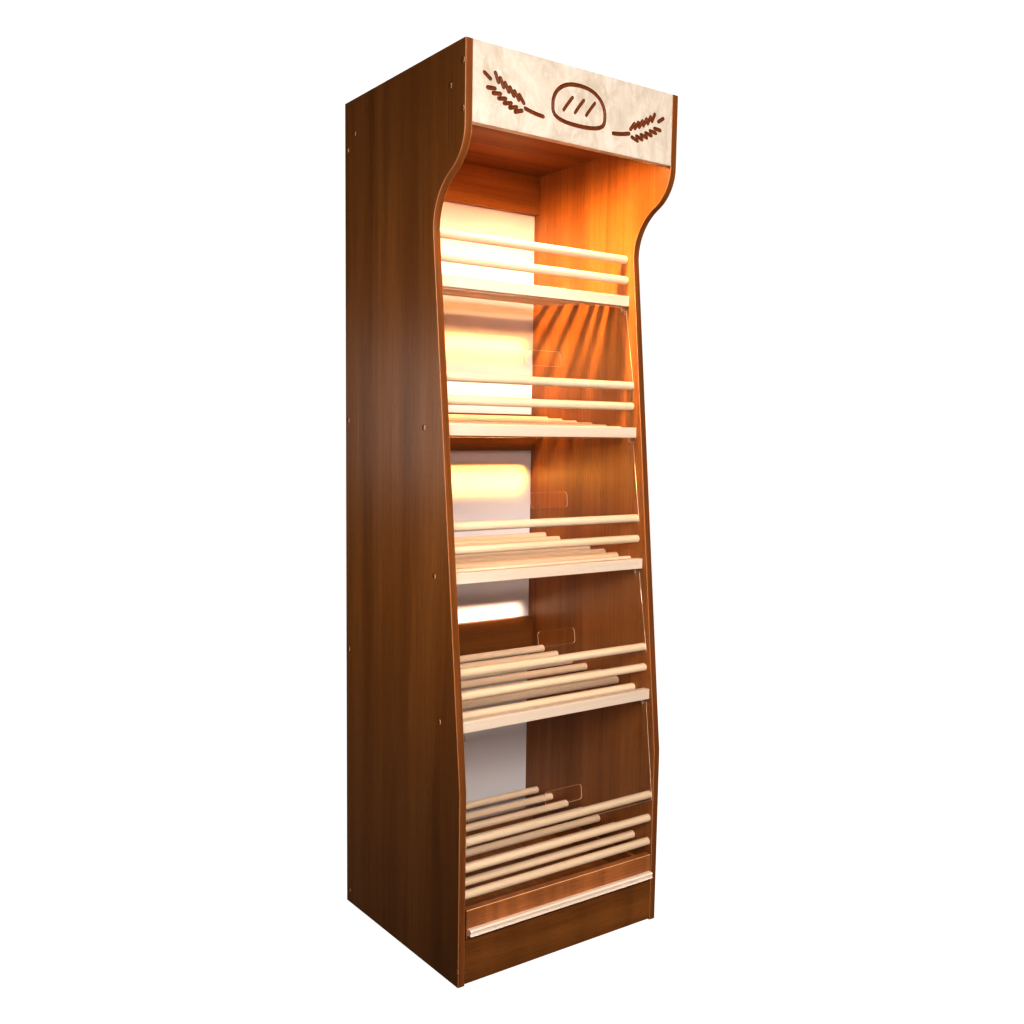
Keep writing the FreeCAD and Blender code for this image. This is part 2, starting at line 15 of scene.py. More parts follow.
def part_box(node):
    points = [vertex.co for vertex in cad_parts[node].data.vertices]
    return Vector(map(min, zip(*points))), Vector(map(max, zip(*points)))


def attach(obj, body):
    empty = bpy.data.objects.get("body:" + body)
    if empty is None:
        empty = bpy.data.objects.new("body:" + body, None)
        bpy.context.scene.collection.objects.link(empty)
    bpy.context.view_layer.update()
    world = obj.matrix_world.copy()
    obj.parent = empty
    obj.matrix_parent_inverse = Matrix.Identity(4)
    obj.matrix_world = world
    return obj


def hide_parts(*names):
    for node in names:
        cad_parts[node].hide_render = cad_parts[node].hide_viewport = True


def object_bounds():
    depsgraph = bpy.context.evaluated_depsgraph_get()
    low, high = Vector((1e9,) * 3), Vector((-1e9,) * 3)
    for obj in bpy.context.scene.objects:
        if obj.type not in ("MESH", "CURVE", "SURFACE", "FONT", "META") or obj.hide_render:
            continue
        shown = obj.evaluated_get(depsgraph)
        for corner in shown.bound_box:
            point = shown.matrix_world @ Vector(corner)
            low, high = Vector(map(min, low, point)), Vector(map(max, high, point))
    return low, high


MM = 0.001
SHELVES = (1, 2, 3, 4)
SIDES = (("left", -1), ("right", 1))
BACK_RAILS = ("back_rail_top", "back_rail_upper", "back_rail_lower", "back_rail_bottom")
WELD_GAP = 1e-5  # metres
BOARD_EASE, RAIL_EASE = 0.5, 1.2  # how much sharp edges are eased

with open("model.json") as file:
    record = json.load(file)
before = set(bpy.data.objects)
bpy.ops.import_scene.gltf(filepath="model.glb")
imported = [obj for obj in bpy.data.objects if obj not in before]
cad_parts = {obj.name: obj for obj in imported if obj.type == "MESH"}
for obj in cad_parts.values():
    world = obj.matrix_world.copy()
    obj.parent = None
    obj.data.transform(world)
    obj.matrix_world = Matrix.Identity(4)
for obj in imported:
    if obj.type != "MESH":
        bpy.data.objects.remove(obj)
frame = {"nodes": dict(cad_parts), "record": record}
nodes = frame["nodes"]
cad_low, cad_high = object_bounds()
BACK = cad_high.y / MM


def span(node, axis):
    """The lowest and highest place of a CAD node along an axis, in millimetres."""
    low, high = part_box(node)
    return low[axis] / MM, high[axis] / MM


def middle(node, axis):
    """The middle of a CAD node along an axis, in millimetres."""
    return sum(span(node, axis)) / 2


def reach_of(y):
    """How far forward of the back plane a place is."""
    return BACK - y


def placed(name, data):
    """A new object in the scene that shows a mesh, a light or a camera."""
    made = bpy.data.objects.new(name, data)
    bpy.context.scene.collection.objects.link(made)
    return made


# ---------------------------------------------------------------- node materials


class Finish:
    """A procedural material under construction. Its patterns read the object's own coordinates, in metres."""

    def __init__(self, name):
        self.material = bpy.data.materials.new(name)
        self.material.use_nodes = True
        self.tree = self.material.node_tree
        self.shader = self.tree.nodes["Principled BSDF"]
        self.coordinates = self.add("ShaderNodeTexCoord")

    def add(self, kind, **settings):
        """A node of a kind, with its settings."""
        made = self.tree.nodes.new(kind)
        for key, value in settings.items():
            setattr(made, key, value)
        return made

    def feed(self, socket, source):
        """Link a source to a socket, or set the socket where the source is a plain value."""
        if isinstance(source, bpy.types.NodeSocket):
            self.tree.links.new(source, socket)
        else:
            socket.default_value = source

    def part(self, kind, axis):
        """One component of a kind of coordinates."""
        place = self.add("ShaderNodeSeparateXYZ")
        self.feed(place.inputs["Vector"], self.coordinates.outputs[kind])
        return place.outputs[axis]

    def face(self):
        """What feeds the base colour so far."""
        return self.shader.inputs["Base Color"].links[0].from_socket

    def stretched(self, scale, kind="Object"):
        """The coordinates times a scale along each axis."""
        mapping = self.add("ShaderNodeMapping")
        self.feed(mapping.inputs["Vector"], self.coordinates.outputs[kind])
        mapping.inputs["Scale"].default_value = scale
        return mapping.outputs["Vector"]

    def noise(self, vector, detail=3, rough=0.5, bend=0.0):
        """A noise pattern in coordinates that are already stretched to its size."""
        texture = self.add("ShaderNodeTexNoise")
        self.feed(texture.inputs["Vector"], vector)
        texture.inputs["Scale"].default_value = 1
        texture.inputs["Detail"].default_value = detail
        texture.inputs["Roughness"].default_value = rough
        texture.inputs["Distortion"].default_value = bend
        return texture.outputs["Fac"]

    def ramp(self, factor, *stops):
        """A ramp of (position, colour) stops; a plain number stands for a grey."""
        made = self.add("ShaderNodeValToRGB")
        elements = made.color_ramp.elements
        while len(elements) < len(stops):
            elements.new(0.5)
        for element, (position, colour) in zip(elements, stops):
            element.position = position
            element.color = (colour,) * 3 + (1,) if isinstance(colour, (int, float)) else (*colour, 1)
        self.feed(made.inputs["Fac"], factor)
        return made.outputs["Color"]

    def maths(self, operation, a, b=0.0):
        made = self.add("ShaderNodeMath", operation=operation)
        self.feed(made.inputs[0], a)
        self.feed(made.inputs[1], b)
        return made.outputs["Value"]

    def mix(self, factor, a, b, blend="MIX"):
        made = self.add("ShaderNodeMix", data_type="RGBA", blend_type=blend)
        self.feed(made.inputs["Factor"], factor)
        self.feed(made.inputs["A"], a)
        self.feed(made.inputs["B"], b)
        return made.outputs["Result"]

    def bump(self, height, distance):
        """Relief on the surface, up to a distance in metres."""
        made = self.add("ShaderNodeBump")
        self.feed(made.inputs["Height"], height)
        made.inputs["Distance"].default_value = distance
        self.feed(self.shader.inputs["Normal"], made.outputs["Normal"])

    def set(self, **values):
        """Values of the shader's own sockets, by name with underscores for spaces."""
        for name, value in values.items():
            self.feed(self.shader.inputs[name.replace("_", " ")], value)
        return self.material


def along(axis, across, down):
    """Scales for a pattern that runs along an axis: features per metre across it and along it."""
    return tuple(down if axis == letter else across for letter in "XYZ")


def wood(name, axis, dark, mid, light, kind="Object", bands=16, lines=0.2, pores=0.3, gloss=(0.34, 0.5),
         shine=0.2):
    """Straight-grained wood or a printed wood pattern: soft bands, fine lines and short dark pores.

    Bands are counted per metre across the grain. Lines and pores are how much these darken the wood, and
    gloss is the least and greatest roughness.
    """
    finish = Finish(name)
    bend = finish.noise(finish.stretched(along(axis, 5, 0.7), kind), detail=2)
    shifted = finish.add("ShaderNodeVectorMath", operation="ADD")
    spread = finish.add("ShaderNodeVectorMath", operation="SCALE")
    finish.feed(spread.inputs[0], finish.ramp(bend, (0.3, 0.0), (0.7, 1.0)))
    spread.inputs["Scale"].default_value = 0.55
    finish.feed(shifted.inputs[0], finish.stretched(along(axis, bands, bands * 0.028), kind))
    finish.feed(shifted.inputs[1], spread.outputs["Vector"])
    figure = finish.noise(shifted.outputs["Vector"], detail=4, rough=0.55, bend=0.25)
    colour = finish.ramp(figure, (0.3, dark), (0.5, mid), (0.68, light))

    fibre = finish.noise(finish.stretched(along(axis, 310, 4.5), kind), detail=3, rough=0.6)
    shade = finish.ramp(fibre, (0.3, 1 - lines), (0.62, 1.0))
    colour = finish.mix(1.0, colour, shade, "MULTIPLY")

    vessels = finish.noise(finish.stretched(along(axis, 900, 38), kind), detail=1, rough=0.4)
    marks = finish.ramp(vessels, (0.6, 1.0), (0.7, 1 - pores))
    colour = finish.mix(1.0, colour, marks, "MULTIPLY")

    relief = finish.mix(0.5, finish.ramp(fibre, (0.2, 0.0), (0.8, 1.0)), marks)
    finish.bump(relief, 0.00006)
    roughness = finish.ramp(fibre, (0.25, gloss[1]), (0.75, gloss[0]))
    finish.set(Base_Color=colour, Roughness=roughness, Specular_IOR_Level=shine)
    return finish


# the dark, middle and light tones of each wood
WALNUT = ((0.245, 0.082, 0.014), (0.325, 0.113, 0.022), (0.390, 0.143, 0.032))
DARK_WALNUT = ((0.120, 0.039, 0.007), (0.176, 0.059, 0.011), (0.230, 0.081, 0.017))
REDDISH = ((0.290, 0.098, 0.026), (0.375, 0.130, 0.038), (0.440, 0.160, 0.052))
EDGING = ((0.135, 0.043, 0.009), (0.180, 0.058, 0.013), (0.225, 0.076, 0.019))
GOLDEN = ((0.61, 0.425, 0.270), (0.67, 0.480, 0.320), (0.71, 0.520, 0.360))
STRIP = ((0.72, 0.560, 0.430), (0.78, 0.610, 0.480), (0.82, 0.650, 0.520))
BIRCH = ((0.54, 0.410, 0.305), (0.59, 0.455, 0.345), (0.63, 0.490, 0.380))


def patched(finish, axis, width, strength):
    """Soft paler and darker patches of a width in metres along an axis, as light shows them on a veneer."""
    scale = tuple(1 / width if letter == axis else 0.8 for letter in "XYZ")
    patches = finish.noise(finish.stretched(scale), detail=2, bend=0.4)
    shade = finish.ramp(patches, (0.36, 1 - strength), (0.62, 1.0))
    return finish.set(Base_Color=finish.mix(1.0, finish.face(), shade, "MULTIPLY"))


ARRIS_WIDTH = 1.8


def painted_arris_highlight(finish, node, colour):
    """A painted highlight: a paler line along the front of a board's top edge, where light catches it."""
    above = finish.maths("SUBTRACT", finish.part("Object", "Z"), (span(node, 2)[1] - ARRIS_WIDTH) * MM)
    ahead = finish.maths("SUBTRACT", (span(node, 1)[0] + ARRIS_WIDTH) * MM, finish.part("Object", "Y"))
    nearest = finish.maths("MULTIPLY", finish.maths("MINIMUM", above, ahead), 1 / MM)
    line = finish.ramp(nearest, (0.2, 0.0), (0.8, 1.0))
    return finish.set(Base_Color=finish.mix(line, finish.face(), (*colour, 1)))


BAND_MIDDLE = 0.0103  # metres along the edging's section, from its inner side to its middle line


def edging(name):
    """Thick edging along a panel's front. Its two milled corners, some 8 mm off its middle, get a painted
    highlight.
    """
    finish = wood(name, "X", *EDGING, kind="UV", bands=120, lines=0.15, pores=0.2, gloss=(0.28, 0.4))
    off_middle = finish.maths("ABSOLUTE", finish.maths("SUBTRACT", finish.part("UV", "Y"), BAND_MIDDLE))
    # painted highlight: paler colour on the two corners, where light catches them
    corner = finish.ramp(finish.maths("MULTIPLY", off_middle, 100), (0.72, 0.0), (0.82, 1.0))
    return finish.set(Base_Color=finish.mix(corner, finish.face(), (0.40, 0.160, 0.068, 1)))


def pale_board(name):
    """Birch veneer: cloudy flames and small lights over a fine, faint grain."""
    finish = Finish(name)
    flames = finish.noise(finish.stretched((17, 17, 11)), detail=6, rough=0.62, bend=1.6)
    dark, mid, light = (0.42, 0.34, 0.26), (0.485, 0.40, 0.32), (0.54, 0.455, 0.37)
    colour = finish.ramp(flames, (0.32, dark), (0.5, mid), (0.66, light))
    sparks = finish.noise(finish.stretched((85, 85, 48)), detail=3, bend=0.6)
    colour = finish.mix(finish.ramp(sparks, (0.56, 0.0), (0.7, 0.5)), colour, (0.575, 0.495, 0.415, 1))
    streaks = finish.noise(finish.stretched((190, 190, 9)), detail=3)
    colour = finish.mix(1.0, colour, finish.ramp(streaks, (0.3, 0.965), (0.6, 1.0)), "MULTIPLY")
    flecks = finish.noise(finish.stretched((420, 420, 90)), detail=1)
    colour = finish.mix(1.0, colour, finish.ramp(flecks, (0.66, 1.0), (0.76, 0.93)), "MULTIPLY")
    finish.bump(streaks, 0.00005)
    roughness = finish.ramp(streaks, (0.3, 0.52), (0.7, 0.42))
    return finish.set(Base_Color=colour, Roughness=roughness, Specular_IOR_Level=0.3)


def groove_paint(name):
    """Dark stain in a routed groove, with the cutter's faint ripple."""
    finish = Finish(name)
    ripple = finish.noise(finish.stretched((260, 60, 260)), detail=2)
    colour = finish.ramp(ripple, (0.3, (0.085, 0.021, 0.005)), (0.7, (0.185, 0.048, 0.012)))
    finish.bump(ripple, 0.0001)
    roughness = finish.ramp(ripple, (0.3, 0.5), (0.7, 0.38))
    return finish.set(Base_Color=colour, Roughness=roughness, Specular_IOR_Level=0.15)


def hardboard(name):
    """White lacquered hardboard, very slightly orange-peeled."""
    finish = Finish(name)
    cloud = finish.noise(finish.stretched((3, 3, 3)), detail=2)
    colour = finish.ramp(cloud, (0.3, (0.59, 0.545, 0.525)), (0.7, (0.63, 0.585, 0.565)))
    peel = finish.noise(finish.stretched((420, 420, 420)), detail=2)
    finish.bump(peel, 0.00004)
    return finish.set(Base_Color=colour, Roughness=finish.ramp(cloud, (0.3, 0.42), (0.7, 0.5)))


def steel(name, dark, light, axis="Y", metal=1.0):
    """Plated steel with drawing lines along one axis."""
    finish = Finish(name)
    lines = finish.noise(finish.stretched(along(axis, 900, 12)), detail=3)
    cloud = finish.noise(finish.stretched((35, 35, 35)), detail=3)
    lined = finish.ramp(lines, (0.3, dark), (0.7, light))
    clouded = finish.ramp(cloud, (0.35, dark), (0.65, light))
    finish.bump(lines, 0.00003)
    roughness = finish.ramp(lines, (0.25, 0.42), (0.75, 0.26))
    return finish.set(Base_Color=finish.mix(0.5, lined, clouded), Roughness=roughness, Metallic=metal)


def plastic(name, dark, light, gloss=0.38):
    """Moulded plastic or powder coat with a fine grain."""
    finish = Finish(name)
    cloud = finish.noise(finish.stretched((30, 30, 30)), detail=2)
    peel = finish.noise(finish.stretched((600, 600, 600)), detail=2)
    finish.bump(peel, 0.00004)
    roughness = finish.ramp(cloud, (0.3, gloss + 0.08), (0.7, gloss - 0.04))
    return finish.set(Base_Color=finish.ramp(cloud, (0.3, dark), (0.7, light)), Roughness=roughness)


def cap_plastic(name):
    """Brown moulded plastic. Its dome's forward flank gets a painted highlight: paler colour and a faint
    painted glow.
    """
    finish = Finish(name)
    cloud = finish.noise(finish.stretched((30, 30, 30)), detail=2)
    forward = finish.maths("MULTIPLY", finish.part("Normal", "Y"), -1.0)
    # painted highlight and glow on the forward-facing flank of the dome, where light would catch it
    painted_highlight = finish.ramp(forward, (0.06, 0.0), (0.2, 1.0))
    brown = finish.ramp(cloud, (0.3, (0.24, 0.085, 0.022)), (0.7, (0.29, 0.105, 0.030)))
    colour = finish.mix(painted_highlight, brown, (0.80, 0.50, 0.33, 1))
    finish.set(Emission_Color=(1.0, 0.50, 0.28, 1), Emission_Strength=finish.maths("MULTIPLY", painted_highlight, 0.3))
    return finish.set(Base_Color=colour, Roughness=finish.ramp(cloud, (0.3, 0.3), (0.7, 0.24)))


LAMP_GLOW = (1.0, 0.65, 0.26)
THROUGH_GLOW = (1.0, 0.52, 0.10)
PALE_GLOW = (1.0, 0.80, 0.62)
TUBE_POWER = 6
TUBE_HALF = 0.25  # metres from the tube's middle to where its glow is weakest
SHEET_TILT = math.radians(8.7)  # how far the closed flaps' sheets lean


def lamp_glass(name):
    """A frosted tube whose lower side glows warm white, weaker at its two ends."""
    finish = Finish(name)
    from_middle = finish.maths("ABSOLUTE", finish.part("Object", "X"))
    dim = tuple(0.35 * c for c in LAMP_GLOW)
    glow = finish.ramp(finish.maths("MULTIPLY", from_middle, 1 / TUBE_HALF), (0.88, LAMP_GLOW), (1.0, dim))
    down = finish.ramp(finish.maths("MULTIPLY", finish.part("Normal", "Z"), -1.0), (0.55, 0.0), (0.8, 1.0))
    finish.set(Emission_Color=glow, Emission_Strength=finish.maths("MULTIPLY", down, TUBE_POWER))
    return finish.set(Base_Color=(0.9, 0.86, 0.78, 1), Roughness=0.4)


def acrylic(name, painted_edge_glow):
    """Clear acrylic. Light caught in the sheet leaves at its sawn edges; a painted glow on them stands for
    it.
    """
    finish = Finish(name)
    facing = finish.add("ShaderNodeVectorMath", operation="DOT_PRODUCT")
    finish.feed(facing.inputs[0], finish.coordinates.outputs["Normal"])
    facing.inputs[1].default_value = (0, math.cos(SHEET_TILT), -math.sin(SHEET_TILT))
    edge = finish.ramp(finish.maths("ABSOLUTE", facing.outputs["Value"]), (0.75, 1.0), (0.92, 0.0))
    smears = finish.noise(finish.stretched((14, 14, 14)), detail=3)
    tint = finish.mix(edge, (0.985, 0.99, 0.988, 1), (0.93, 0.95, 0.94, 1))
    finish.set(Base_Color=tint, Roughness=finish.ramp(smears, (0.4, 0.0), (0.8, 0.012)))
    # painted glow on the sawn edges: they emit, though they are no lamp
    glow = finish.maths("MULTIPLY", edge, painted_edge_glow)
    finish.set(Emission_Color=(1.0, 0.66, 0.44, 1), Emission_Strength=glow)
    return finish.set(IOR=1.49, Specular_IOR_Level=0.3, Transmission_Weight=1.0)


# a darker copy of the walnut, painted shade for the ceiling and the lower back cross boards, which are the
# same board as the rest
WALNUT_PAINTED_SHADE = wood("walnut_painted_shade", "X", *DARK_WALNUT)
DRAWER_FACE = wood("drawer_face", "X", *REDDISH, bands=10)
patched(DRAWER_FACE, "X", 0.05, 0.3)
# painted highlight along the drawer front's top front arris
painted_arris_highlight(DRAWER_FACE, "drawer_front", (0.80, 0.42, 0.20))
PLINTH_FACE = wood("plinth_face", "X", *DARK_WALNUT, bands=12)
patched(PLINTH_FACE, "X", 0.09, 0.2)
PANEL_WALNUT = wood("walnut_upright", "Z", *WALNUT, lines=0.28, gloss=(0.26, 0.4), shine=0.42)
DOWEL_BIRCH = wood("dowel_wood", "X", *GOLDEN, bands=30, lines=0.09, pores=0.12, gloss=(0.4, 0.52))
RAIL_BIRCH = wood("rail_wood", "X", *BIRCH, bands=22, lines=0.06, pores=0.08, gloss=(0.42, 0.55))
STRIP_BIRCH = wood("handle_wood", "X", *STRIP, bands=30, lines=0.06, pores=0.08, gloss=(0.4, 0.52))
CAP_PLASTIC = cap_plastic("cap_plastic")
CUT_BOARD = wood("cut_board", "Z", *DARK_WALNUT, bands=60)
GROOVE = groove_paint("routed_groove")

SLOT_FINISHES = {
    "walnut_board": wood("walnut_level", "X", *WALNUT).material,
    "edge_banding": edging("edge_strip"),
    "birch_board": pale_board("birch_board_veneer"),
    "birch_dowel": DOWEL_BIRCH.material,
    "birch_rail": RAIL_BIRCH.material,
    "white_hardboard": hardboard("white_back"),
    "drawer_board": wood("drawer_wood", "Y", *WALNUT).material,
    "zinc_steel": steel("zinc_plate", (0.62, 0.62, 0.62), (0.80, 0.80, 0.80), metal=0.6),
    "white_steel": plastic("white_powder_coat", (0.80, 0.80, 0.78), (0.87, 0.87, 0.85)),
    "lamp_glass": lamp_glass("warm_tube"),
    "white_plastic": plastic("white_moulding", (0.78, 0.77, 0.74), (0.85, 0.84, 0.81), gloss=0.3),
    # each acrylic's number is the strength of its painted edge glow
    "clear_acrylic": acrylic("clear_sheet", 0.5),
    "acrylic_block": acrylic("clear_block", 0.03),
}
NODE_FINISHES = {
    "side_panel_left": PANEL_WALNUT.material,
    "side_panel_right": PANEL_WALNUT.material,
    "ceiling_panel": WALNUT_PAINTED_SHADE.material,
    "back_rail_upper": WALNUT_PAINTED_SHADE.material,
    "back_rail_lower": WALNUT_PAINTED_SHADE.material,
    "back_rail_bottom": WALNUT_PAINTED_SHADE.material,
    "drawer_front": DRAWER_FACE.material,
    "drawer_handle": STRIP_BIRCH.material,
    "plinth_board": PLINTH_FACE.material,
    "flap_pins": steel("bronzed_pin", (0.15, 0.085, 0.045), (0.24, 0.14, 0.08), axis="X"),
}


def finish_nodes():
    """Give every CAD node its own finish or that of its slot. Clear pieces and the tube cast no shadow."""
    for row in frame["record"]["subparts"]:
        node = row["node"]
        mesh = nodes[node].data
        mesh.materials.clear()
        mesh.materials.append(NODE_FINISHES.get(node, SLOT_FINISHES[row["material_slot"]]))
    clear = [f"flap_{shelf}" for shelf in SHELVES] + [f"flap_hinge_blocks_{shelf}" for shelf in SHELVES]
    for node in clear + ["lamp_tube"]:
        nodes[node].visible_shadow = nodes[node].visible_diffuse = False


def soften(node, width):
    """Ease a board's sharp edges by a width in millimetres."""
    piece = nodes[node]
    piece.modifiers.new("join", "WELD").merge_threshold = WELD_GAP
    flat = piece.modifiers.new("flat", "DECIMATE")
    flat.decimate_type = "DISSOLVE"
    flat.angle_limit = math.radians(1)
    ease = piece.modifiers.new("ease", "BEVEL")
    ease.width = width * MM
    ease.segments = 3
    ease.limit_method = "ANGLE"
    ease.angle_limit = math.radians(40)
    ease.harden_normals = True


# ---------------------------------------------------------------- meshes


def new_piece(name, mesh_maker, material, body="root", smooth=None):
    """An object from a bmesh in millimetres, which rides on a body."""
    mesh = bpy.data.meshes.new(name)
    mesh_maker.transform(Matrix.Scale(MM, 4))
    bmesh.ops.recalc_face_normals(mesh_maker, faces=mesh_maker.faces)
    mesh_maker.to_mesh(mesh)
    mesh_maker.free()
    mesh.materials.append(material)
    piece = placed(name, mesh)
    if smooth is not None:
        mesh.shade_smooth()
        mesh.set_sharp_from_angle(angle=math.radians(smooth))
    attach(piece, body)
    return piece


def skin(work, rings, closed=False):
    """Faces between rings of points. A ring of one point is a tip."""
    steps = max(len(ring) for ring in rings)
    pairs = list(zip(rings, rings[1:]))
    if closed:
        pairs.append((rings[-1], rings[0]))
    for low, high in pairs:
        for k in range(steps):
            following = (k + 1) % steps
            corners = [low[k % len(low)], low[following % len(low)]]
            corners += [high[following % len(high)], high[k % len(high)]]
            unique = list(dict.fromkeys(corners))
            if len(unique) > 2:
                work.faces.new(unique)


def lathe(work, centre, axis, profile, steps=32):
    """Turn a profile of (radius, height) points about an axis through a centre."""
    turn = Vector((0, 0, 1)).rotation_difference(Vector(axis)).to_matrix()
    rings = []
    for radius, height in profile:
        if radius == 0:
            rings.append([work.verts.new(Vector(centre) + turn @ Vector((0, 0, height)))])
            continue
        ring = []
        for k in range(steps):
            angle = math.tau * k / steps
            spot = Vector((radius * math.cos(angle), radius * math.sin(angle), height))
            ring.append(work.verts.new(Vector(centre) + turn @ spot))
        rings.append(ring)
    skin(work, rings)


TUBE_END_RINGS = (0.25, 0.6, 0.85)  # shares of a tube's radius, from its tip inwards


def tube(work, path, radius, steps=14, closed=False):
    """A round-ended tube along a path of points in the XZ plane."""
    points = [Vector((x, y, z)) for x, y, z in path]
    count = len(points)
    normal = Vector((0, 1, 0))
    rings = []

    def ring_at(point, forward, scale):
        side = forward.cross(normal).normalized()
        ring = []
        for k in range(steps):
            angle = math.tau * k / steps
            around = side * math.cos(angle) + normal * math.sin(angle)
            ring.append(work.verts.new(point + scale * radius * around))
        return ring

    def heading(i):
        before = points[(i - 1) % count] if closed or i else points[i]
        after = points[(i + 1) % count] if closed or i < count - 1 else points[i]
        return (after - before).normalized()

    if not closed:
        start = heading(0)
        rings.append([work.verts.new(points[0] - start * radius)])
        for share in TUBE_END_RINGS:
            rings.append(ring_at(points[0] - start * radius * math.sqrt(1 - share * share), start, share))
    rings += [ring_at(point, heading(i), 1) for i, point in enumerate(points)]
    if not closed:
        end = heading(count - 1)
        for share in reversed(TUBE_END_RINGS):
            rings.append(ring_at(points[-1] + end * radius * math.sqrt(1 - share * share), end, share))
        rings.append([work.verts.new(points[-1] + end * radius)])
    skin(work, rings, closed)


def block(work, low, high):
    """A box between two corners."""
    made = bmesh.ops.create_cube(work, size=1)["verts"]
    centre = (Vector(low) + Vector(high)) / 2
    extent = Vector(high) - Vector(low)
    for vert in made:
        vert.co = Vector(v * e for v, e in zip(vert.co, extent)) + centre


def carve(piece, cutter):
    """Cut the cutter out of a piece and remove it. The cut faces take the cutter's material."""
    cutter.parent = None
    modifier = piece.modifiers.new("carve", "BOOLEAN")
    modifier.operation = "DIFFERENCE"
    modifier.solver = "EXACT"
    modifier.material_mode = "TRANSFER"
    modifier.use_self = True
    modifier.object = cutter
    bpy.context.view_layer.update()
    carved = bpy.data.meshes.new_from_object(piece.evaluated_get(bpy.context.evaluated_depsgraph_get()))
    piece.modifiers.clear()
    piece.data = carved
    carved.name = piece.name
    bpy.data.objects.remove(cutter)


# ---------------------------------------------------------------- side panels, edge bands and caps

# the panels' side view, as reaches and heights, and the edging along its front
BASE_REACH, HOOD_REACH = 518, 514
KNEE, WAIST, TOP = 437, 1635, 2000
SLANT = math.radians(5.69)
NECK, BROW = 118, 94  # radii
ARC_STEPS = 26
INNER, OUTER = 282, 300  # a panel's two faces, from the rack's middle
BAND = 2
BAND_ROUNDING = 1.6


def front_edge():
    """Points (reach, height) and outward directions along the panels' front edge, from the floor up."""
    slope = (math.cos(SLANT), math.sin(SLANT))
    waist = (BASE_REACH - (WAIST - KNEE) * math.tan(SLANT), WAIST)
    neck = (waist[0] + slope[0] * NECK, waist[1] + slope[1] * NECK)
    brow_reach = HOOD_REACH - BROW
    rise = math.sqrt((NECK + BROW) ** 2 - (neck[0] - brow_reach) ** 2)
    turn = math.atan2(rise, neck[0] - brow_reach)
    brow = (brow_reach, neck[1] + rise)
    half = SLANT / 2
    trail = [((BASE_REACH, 0), (1, 0)), ((BASE_REACH, KNEE), (math.cos(half), math.sin(half)))]
    for k in range(ARC_STEPS + 1):
        angle = -SLANT + (turn + SLANT) * k / ARC_STEPS
        way = (math.cos(angle), -math.sin(angle))
        trail.append(((neck[0] - NECK * way[0], neck[1] - NECK * way[1]), way))
    for k in range(1, ARC_STEPS + 1):
        angle = turn * (1 - k / ARC_STEPS)
        way = (math.cos(angle), -math.sin(angle))
        trail.append(((brow[0] + BROW * way[0], brow[1] + BROW * way[1]), way))
    trail.append(((HOOD_REACH, TOP), (1, 0)))
    return trail


def edge_band(name, sign):
    """The thick edging with its two front corners rounded, swept along the front edge."""
    work = bmesh.new()
    uv = work.loops.layers.uv.new("UVMap")
    rounding = BAND_ROUNDING
    section = [(INNER, -BAND), (INNER, -rounding)]
    corner = [(math.sin(a), math.cos(a)) for a in (math.pi * k / 10 for k in range(1, 5))]
    section += [(INNER + rounding * (1 - c), -rounding * (1 - s)) for s, c in corner]
    section += [(INNER + rounding, 0), (OUTER - rounding, 0)]
    section += [(OUTER - rounding * (1 - s), -rounding * (1 - c)) for s, c in corner]
    section += [(OUTER, -rounding), (OUTER, -BAND)]
    rings, lengths = [], []
    run = 0.0
    previous = None
    for (reach, height), way in front_edge():
        if previous is not None:
            run += math.hypot(reach - previous[0], height - previous[1])
        previous = (reach, height)
        lengths.append(run)
        stretch = 1 / way[0] if height == KNEE else 1  # the section at the knee is a mitre
        ring = []
        for across, depth in section:
            spot = (reach + way[0] * depth * stretch, height + way[1] * depth * stretch)
            ring.append(work.verts.new((sign * across, BACK - spot[0], spot[1])))
        rings.append(ring)
    places = [0.0]
    for a, b in zip(section, section[1:]):
        places.append(places[-1] + math.hypot(b[0] - a[0], b[1] - a[1]))
    for i, (low, high) in enumerate(zip(rings, rings[1:])):
        for k in range(len(section)):
            following = (k + 1) % len(section)
            face = work.faces.new((low[k], low[following], high[following], high[k]))
            spots = [(i, k), (i, following), (i + 1, following), (i + 1, k)]
            for loop, (row, column) in zip(face.loops, spots):
                loop[uv].uv = (lengths[row] * MM, places[column] * MM)
    for ring in (rings[0], rings[-1]):
        work.faces.new(ring)
    edge_strip = SLOT_FINISHES["edge_banding"]
    piece = new_piece("edge_band_swept_" + name, work, edge_strip, smooth=50)
    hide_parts("edge_band_" + name)


CAP_RADIUS = 6.2
CAP_DOME = ((0, 1.25), (0.15, 1.05), (0.5, 0.72), (1.0, 0.42), (1.8, 0.18), (3.2, 0.05))  # inset, depth
SEAT_GAP = 0.5
SEAT_DEPTH = 1.3
# places of the caps: below the panel's top, above a board's lower edge, ahead of or behind a piece
HEADER_CAP_DROPS = (42, 135)
RAIL_CAP_RISES = (78, 74, 69, 28)
CEILING_CAP_INSET, CEILING_CAP_REACH = 37, 47
PLINTH_CAP_AHEAD, PLINTH_CAP_RISE = 3, 32
DOWEL_CAP_INSET, DOWEL_CAP_RISE = 10, 8


def cap_places():
    """(reach, height) of the screw caps on each panel's outside, at the ends of the boards that they hold."""
    header = reach_of(middle("header_board", 1))
    places = [(header, TOP - drop) for drop in HEADER_CAP_DROPS]
    ceiling = middle("ceiling_panel", 2)
    crown = reach_of(span("ceiling_panel", 1)[0])
    places += [(crown - CEILING_CAP_INSET, ceiling), (CEILING_CAP_REACH, ceiling)]
    for board, rise in zip(BACK_RAILS, RAIL_CAP_RISES):
        places.append((reach_of(middle(board, 1)), span(board, 2)[0] + rise))
    toe = reach_of(middle("plinth_board", 1))
    places.append((toe + PLINTH_CAP_AHEAD, span("plinth_board", 2)[0] + PLINTH_CAP_RISE))
    for shelf in SHELVES[1:]:
        dowels = f"floor_dowels_{shelf}"
        places.append((reach_of(span(dowels, 1)[0]) - DOWEL_CAP_INSET, span(dowels, 2)[0] + DOWEL_CAP_RISE))
    return places


